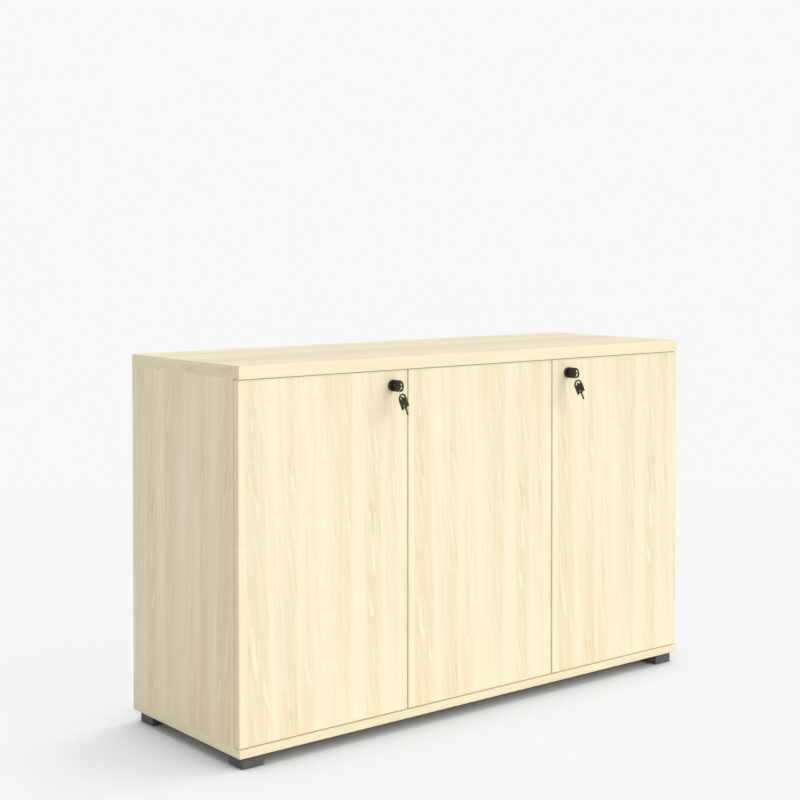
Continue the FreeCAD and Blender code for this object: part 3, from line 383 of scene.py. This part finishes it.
# %% [markdown]
# ## Maple boards
# Each board gets the print with its grain along its own length: upright on doors and sides, and left to
# right on the top, the bottom and the shelves. The doors are cut to one size from one run of board, so each
# reads the print from its own middle and shows the same figure. The print could be one finish for all the
# boards, but a place is then measured from the floor, and no two doors would look alike.

# %% Maple boards
MAPLE_COLOURS = {
    "Cream": colour(255, 246, 217),
    "Tan": colour(240, 223, 186),
    "Stroke": colour(236, 218, 180),
    "Fleck": colour(255, 245, 216),
}
WOOD_BUMP = 0.05 * MM
WOOD_GLOSS = 0.12


def make_wood(name, axes, middle, colours):
    finish, tree, shader = new_finish(name)
    shader.inputs["Specular IOR Level"].default_value = WOOD_GLOSS
    add_surface(tree, shader, maple_grain, grain_place(tree, axes, middle), colours, WOOD_BUMP)
    return finish


ALONG_X, ALONG_Y, ALONG_Z = "YXZ", "XYZ", "XZY"
ON_SIDES = "YZX"
BOARD_GRAIN = {
    "left_door": ALONG_Z, "middle_door": ALONG_Z, "right_door": ALONG_Z,
    "left_side_panel": ON_SIDES, "right_side_panel": ON_SIDES, "partition_panel": ON_SIDES,
    "top_panel": ALONG_X, "bottom_panel": ALONG_X, "left_shelf": ALONG_X, "right_shelf": ALONG_X,
}


def dress(node, finish):
    """Gives a node of the frame one finish in place of the plain one that it came with."""
    materials = nodes[node].data.materials
    materials.clear()
    materials.append(finish)


def middle_of(node):
    low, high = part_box(node)
    return (low + high) / 2


for board, axes in BOARD_GRAIN.items():
    dress(board, make_wood(f"maple_{board}", axes, middle_of(board), MAPLE_COLOURS))
print("maple boards:", len(BOARD_GRAIN))

# %% [markdown]
# ## Back board and dowels
# The back panel is a thin board with the same print, a little duller, as the side that faces the wall often
# is. The dowels are turned beech, which is redder than the maple. Both are wood with a grain, so they use the
# same group with colours of their own.

# %% Back board and dowels
BACK_COLOURS = {
    "Cream": colour(243, 232, 204),
    "Tan": colour(232, 216, 181),
    "Stroke": colour(226, 209, 172),
    "Fleck": colour(246, 237, 212),
}
BEECH_COLOURS = {
    "Cream": colour(224, 186, 142),
    "Tan": colour(205, 163, 118),
    "Stroke": colour(186, 142, 98),
    "Fleck": colour(232, 198, 158),
}
dress("back_panel", make_wood("maple_back_panel", ALONG_Z, middle_of("back_panel"), BACK_COLOURS))
dress("wood_dowels", make_wood("beech_dowels", ALONG_Z, middle_of("wood_dowels"), BEECH_COLOURS))
print("back panel and dowels dressed")

# %% [markdown]
# ## Moulded plastic and cast black
# The feet and the heads of the keys are moulded plastic, and the locks and the case of the bolt are cast and
# lacquered black. Such skins look even from afar, but a mould leaves a fine pitted texture, and handling
# leaves broad patches that are a little lighter. A flat colour would lose both. One group gives the pits and
# the patches, and each finish sets its own two tones and how matt it is.

# %% Moulded and lacquered finishes
PATCH_SIZE = (0.03, 0.03, 0.03)
PIT_SIZE = (0.0007, 0.0007, 0.0007)
PATCH_SHARE, PIT_SHARE = 0.65, 0.35
MOULD_BUMP = 0.08 * MM


def make_moulded_skin():
    inputs = {"Place": "Vector", "Dark": "Color", "Light": "Color", "Smooth": "Float", "Matt": "Float"}
    group, start, end = new_group("moulded_skin", inputs, SURFACE)
    patches = remapped(group, sized_noise(group, start["Place"], PATCH_SIZE), *CLOUD_RANGE)
    pits = remapped(group, sized_noise(group, start["Place"], PIT_SIZE), *CLOUD_RANGE)
    light = weighted(group, (patches, PATCH_SHARE), (pits, PIT_SHARE))
    group.links.new(mix_colours(group, light, start["Dark"], start["Light"]), end["Color"])
    group.links.new(remapped(group, pits, 0.0, 1.0, start["Smooth"], start["Matt"]), end["Roughness"])
    group.links.new(pits, end["Height"])
    return group


moulded_skin = make_moulded_skin()


def make_moulded(name, dark, light, smooth, matt):
    finish, tree, shader = new_finish(name)
    values = {"Dark": dark, "Light": light, "Smooth": smooth, "Matt": matt}
    place = add_node(tree, "ShaderNodeTexCoord").outputs["Object"]
    add_surface(tree, shader, moulded_skin, place, values, MOULD_BUMP)
    return finish


MOULDED = {
    "grey_plastic": {
        "name": "foot_plastic", "dark": colour(80, 78, 76), "light": colour(90, 88, 86),
        "smooth": 0.5, "matt": 0.64,
    },
    "black_lock": {
        "name": "lock_lacquer", "dark": colour(26, 26, 27), "light": colour(36, 36, 37),
        "smooth": 0.3, "matt": 0.42,
    },
    "black_plastic": {
        "name": "key_head_plastic", "dark": colour(33, 32, 32), "light": colour(44, 43, 42),
        "smooth": 0.42, "matt": 0.58,
    },
}
finishes = {slot: make_moulded(**look) for slot, look in MOULDED.items()}
print("moulded finishes:", sorted(finishes))

# %% [markdown]
# ## Metals
# The hinges, the shelf pins and the rings are nickel plated, and the screws, fittings, cams and strike plates
# are zinc plated, which is greyer and duller. Plating follows the marks of the rolled or drawn metal under it,
# so it has fine streaks one way and a little clouding. Again one group serves both.

# %% Plated finishes
SCRATCH_SIZE = (0.0004, 0.02, 0.0004)
CLOUDING_SIZE = (0.012, 0.012, 0.012)
SCRATCH_SHARE, CLOUDING_SHARE = 0.5, 0.5
PLATING_BUMP = 0.02 * MM


def make_worked_metal():
    inputs = {"Place": "Vector", "Dull": "Color", "Bright": "Color", "Smooth": "Float", "Matt": "Float"}
    group, start, end = new_group("worked_metal", inputs, SURFACE)
    scratches = remapped(group, sized_noise(group, start["Place"], SCRATCH_SIZE), *CLOUD_RANGE)
    clouding = remapped(group, sized_noise(group, start["Place"], CLOUDING_SIZE), *CLOUD_RANGE)
    bright = weighted(group, (scratches, SCRATCH_SHARE), (clouding, CLOUDING_SHARE))
    group.links.new(mix_colours(group, bright, start["Dull"], start["Bright"]), end["Color"])
    group.links.new(remapped(group, bright, 0.0, 1.0, start["Matt"], start["Smooth"]), end["Roughness"])
    group.links.new(scratches, end["Height"])
    return group


worked_metal = make_worked_metal()


def make_metal(name, dull, bright, smooth, matt):
    finish, tree, shader = new_finish(name)
    shader.inputs["Metallic"].default_value = 1.0
    values = {"Dull": dull, "Bright": bright, "Smooth": smooth, "Matt": matt}
    place = add_node(tree, "ShaderNodeTexCoord").outputs["Object"]
    add_surface(tree, shader, worked_metal, place, values, PLATING_BUMP)
    return finish


PLATED = {
    "nickel_steel": {
        "name": "nickel_plate", "dull": colour(188, 185, 179), "bright": colour(212, 209, 203),
        "smooth": 0.2, "matt": 0.32,
    },
    "zinc_steel": {
        "name": "zinc_plate", "dull": colour(164, 167, 170), "bright": colour(190, 192, 194),
        "smooth": 0.32, "matt": 0.46,
    },
}
finishes.update({slot: make_metal(**look) for slot, look in PLATED.items()})
print("finishes:", sorted(finishes))

# %% [markdown]
# ## Keys
# A key's blade is dark olive brass, and the rivet through it is plain steel. The
# two are one node in the frame, so they could be split, but the rivet's ends are also the only parts that lie
# further from the key's middle plane than the blade's faces. A mask by that distance picks them out.

# %% Key blades
BLADE_HALF = 0.8 * MM
DARK_OLIVE_BRASS = (colour(74, 67, 46), colour(100, 91, 64))
RIVET_STEEL = (colour(146, 144, 138), colour(172, 170, 164))
BLADE_SMOOTH, BLADE_MATT = 0.3, 0.44


def make_blade_metal(name, middle):
    finish, tree, shader = new_finish(name)
    shader.inputs["Metallic"].default_value = 1.0
    place = place_from(tree, middle)
    sideways = add_node(tree, "ShaderNodeSeparateXYZ", {0: place}).outputs["X"]
    from_plane = add_node(tree, "ShaderNodeMath", {0: sideways}, operation="ABSOLUTE").outputs[0]
    rivet = arithmetic(tree, "GREATER_THAN", from_plane, BLADE_HALF)
    dull, bright = (mix_colours(tree, rivet, brass, steel) for brass, steel in zip(DARK_OLIVE_BRASS, RIVET_STEEL))
    values = {"Dull": dull, "Bright": bright, "Smooth": BLADE_SMOOTH, "Matt": BLADE_MATT}
    add_surface(tree, shader, worked_metal, place, values, PLATING_BUMP)
    return finish


KEY_BLADES = ("left_key_blade", "left_spare_key_blade", "right_key_blade", "right_spare_key_blade")
for blade in KEY_BLADES:
    dress(blade, make_blade_metal(f"metal_{blade}", middle_of(blade)))
print("key blades:", len(KEY_BLADES))

# %% [markdown]
# ## Dressing the rest
# Every node left over comes with a plain material that is named for its slot, so a finish can be handed out
# by that name.

# %% Dress by slot
dressed = 0
for name, node in nodes.items():
    slot = node.data.materials[0].name
    if slot in finishes:
        dress(name, finishes[slot])
        dressed += 1
print("nodes dressed by slot:", dressed)

# %% [markdown]
# ## Edge bands
# A laminated board shows raw chipboard where it is cut, so its edges are closed with a 2 mm band, rounded
# over at the corners. The grain of a band runs along the edge, whichever way the board's own grain runs. A
# band could be painted on, but as a piece it carries its own grain and a fine joint line. These helpers do
# what a modeller does by hand: start from a block, pick faces or edges, ease them, and close the piece.

# %% Modelling by hand, in code
LOW, HIGH = -1, 1
BAND = 2.0 * MM
SKIN = 0.05 * MM
BOARD_EASE = 1.5 * MM
PANEL_EASE = 0.5 * MM
SHARP_EASE = 0.1 * MM
EASE_STEPS = 4
SMOOTH_ANGLE = math.radians(40)
SAME_WAY = 0.999


def start_block(name, low, high):
    """A new block at its place and size, open for editing."""
    bpy.ops.object.select_all(action="DESELECT")
    bpy.ops.mesh.primitive_cube_add(size=1.0, location=(low + high) / 2, scale=high - low)
    bpy.ops.object.transform_apply(location=True, rotation=True, scale=True)
    block = bpy.context.object
    block.name = name
    block.data.name = name
    bpy.ops.object.mode_set(mode="EDIT")
    return block


def pick(piece, kind, wanted):
    """Selects the faces or the edges of an open piece that a test picks out."""
    bpy.ops.mesh.select_mode(type=kind)
    bpy.ops.mesh.select_all(action="DESELECT")
    mesh = bmesh.from_edit_mesh(piece.data)
    for part in mesh.faces if kind == "FACE" else mesh.edges:
        if wanted(part):
            part.select_set(True)
    bmesh.update_edit_mesh(piece.data)


def ease(piece, radius, wanted):
    """Rounds the edges of an open piece that a test picks out."""
    pick(piece, "EDGE", wanted)
    bpy.ops.mesh.bevel(offset=radius, segments=EASE_STEPS, affect="EDGES")


def close_piece(piece, body, slot_name, *materials):
    """Ends the editing of a piece, gives it its finishes and sets it on its body."""
    bpy.ops.mesh.select_all(action="SELECT")
    bpy.ops.mesh.normals_make_consistent(inside=False)
    bpy.ops.object.mode_set(mode="OBJECT")
    bpy.ops.object.shade_smooth_by_angle(angle=SMOOTH_ANGLE)
    for material in materials:
        piece.data.materials.append(material)
    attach(piece, body)


def on_side(vertex, axis, middle):
    """The side of a middle plane that a vertex is on."""
    return HIGH if vertex.co[axis] > middle[axis] else LOW


print("band", BAND, "m, standing", SKIN, "m proud")

# %% [markdown]
# Round a whole board the band is a ring: a block is eased, its two large faces are inset and taken out, and
# the two holes are bridged. Its print is a little more even than that of the boards, as on bought edging.

# %% Bands round whole boards
X, Y, Z = 0, 1, 2
BAND_COLOURS = {
    "Cream": colour(251, 240, 208),
    "Tan": colour(243, 227, 192),
    "Stroke": colour(235, 217, 180),
    "Fleck": colour(253, 242, 212),
}
band_grain = {
    X: make_wood("maple_band_along_x", ALONG_X, (0, 0, 0), BAND_COLOURS),
    Y: make_wood("maple_band_along_y", ALONG_Y, (0, 0, 0), BAND_COLOURS),
    Z: make_wood("maple_band_along_z", ALONG_Z, (0, 0, 0), BAND_COLOURS),
}
BANDED_BOARDS = {
    "top_panel": {"body": "carcass", "thin": Z, "eased": {HIGH}, "radius": BOARD_EASE},
    "bottom_panel": {"body": "carcass", "thin": Z, "eased": {LOW}, "radius": PANEL_EASE},
    "left_door": {"body": "left_door", "thin": Y, "eased": {LOW, HIGH}, "radius": BOARD_EASE},
    "middle_door": {"body": "middle_door", "thin": Y, "eased": {LOW, HIGH}, "radius": BOARD_EASE},
    "right_door": {"body": "right_door", "thin": Y, "eased": {LOW, HIGH}, "radius": BOARD_EASE},
}


def model_band_ring(board, body, thin, eased, radius):
    """A closed ring of band round a board that is thin along one axis, with the edges of some sides eased."""
    low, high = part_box(board)
    middle = (low + high) / 2
    skin = Vector((SKIN, SKIN, SKIN))
    ring = start_block(f"{board}_band", low - skin, high + skin)
    ease(ring, radius, lambda edge: {on_side(vertex, thin, middle) for vertex in edge.verts} <= eased)
    for side in (LOW, HIGH):
        pick(ring, "FACE", lambda face: face.normal[thin] * side > SAME_WAY)
        bpy.ops.mesh.inset(thickness=BAND - radius if side in eased else BAND)
        bpy.ops.mesh.delete(type="FACE")
    pick(ring, "EDGE", lambda edge: edge.is_boundary)
    bpy.ops.mesh.bridge_edge_loops()
    first, second = (axis for axis in (X, Y, Z) if axis != thin)
    close_piece(ring, body, "maple_laminate", band_grain[second], band_grain[first])
    half = (high - low) / 2
    for face in ring.data.polygons:
        offset = face.center - middle
        face.material_index = int(abs(offset[first]) * half[second] < abs(offset[second]) * half[first])
    return ring


for board, form in BANDED_BOARDS.items():
    ring = model_band_ring(board, **form)
    print(ring.name, len(ring.data.polygons), "faces")

# %% [markdown]
# The uprights and the shelves only show their front edges, and the sides their back edges too, so these
# get straight strips of the same band. A strip's long edges are eased as the board under it is.

# %% Straight bands
FRONT, BACK = LOW, HIGH
STRIPS = [
    {"board": "left_side_panel", "thin": X, "face": FRONT, "radii": (PANEL_EASE, SHARP_EASE), "grain": Z},
    {"board": "left_side_panel", "thin": X, "face": BACK, "radii": (PANEL_EASE, SHARP_EASE), "grain": Z},
    {"board": "right_side_panel", "thin": X, "face": FRONT, "radii": (SHARP_EASE, PANEL_EASE), "grain": Z},
    {"board": "right_side_panel", "thin": X, "face": BACK, "radii": (SHARP_EASE, PANEL_EASE), "grain": Z},
    {"board": "partition_panel", "thin": X, "face": FRONT, "radii": (SHARP_EASE, SHARP_EASE), "grain": Z},
    {"board": "left_shelf", "thin": Z, "face": FRONT, "radii": (BOARD_EASE, BOARD_EASE), "grain": X},
    {"board": "right_shelf", "thin": Z, "face": FRONT, "radii": (BOARD_EASE, BOARD_EASE), "grain": X},
]
FACE_NAMES = {FRONT: "front", BACK: "back"}


def lies_at(edge, sides, middle):
    """Whether both ends of an edge are on the given sides of a piece's middle planes."""
    return all(on_side(vertex, axis, middle) == side for vertex in edge.verts for axis, side in sides.items())


def model_band_strip(board, thin, face, radii, grain):
    """A strip of band along the front or back edge of a board, with its two long edges eased."""
    low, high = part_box(board)
    low[thin] -= SKIN
    high[thin] += SKIN
    if face == FRONT:
        high[Y] = low[Y] + BAND
        low[Y] -= SKIN
    else:
        low[Y] = high[Y] - BAND
        high[Y] += SKIN
    middle = (low + high) / 2
    strip = start_block(f"{board}_{FACE_NAMES[face]}_band", low, high)
    for side, radius in zip((LOW, HIGH), radii):
        ease(strip, radius, lambda edge: lies_at(edge, {Y: face, thin: side}, middle))
    close_piece(strip, "carcass", "maple_laminate", band_grain[grain])
    return strip


for form in STRIPS:
    strip = model_band_strip(**form)
    print(strip.name, len(strip.data.polygons), "faces")
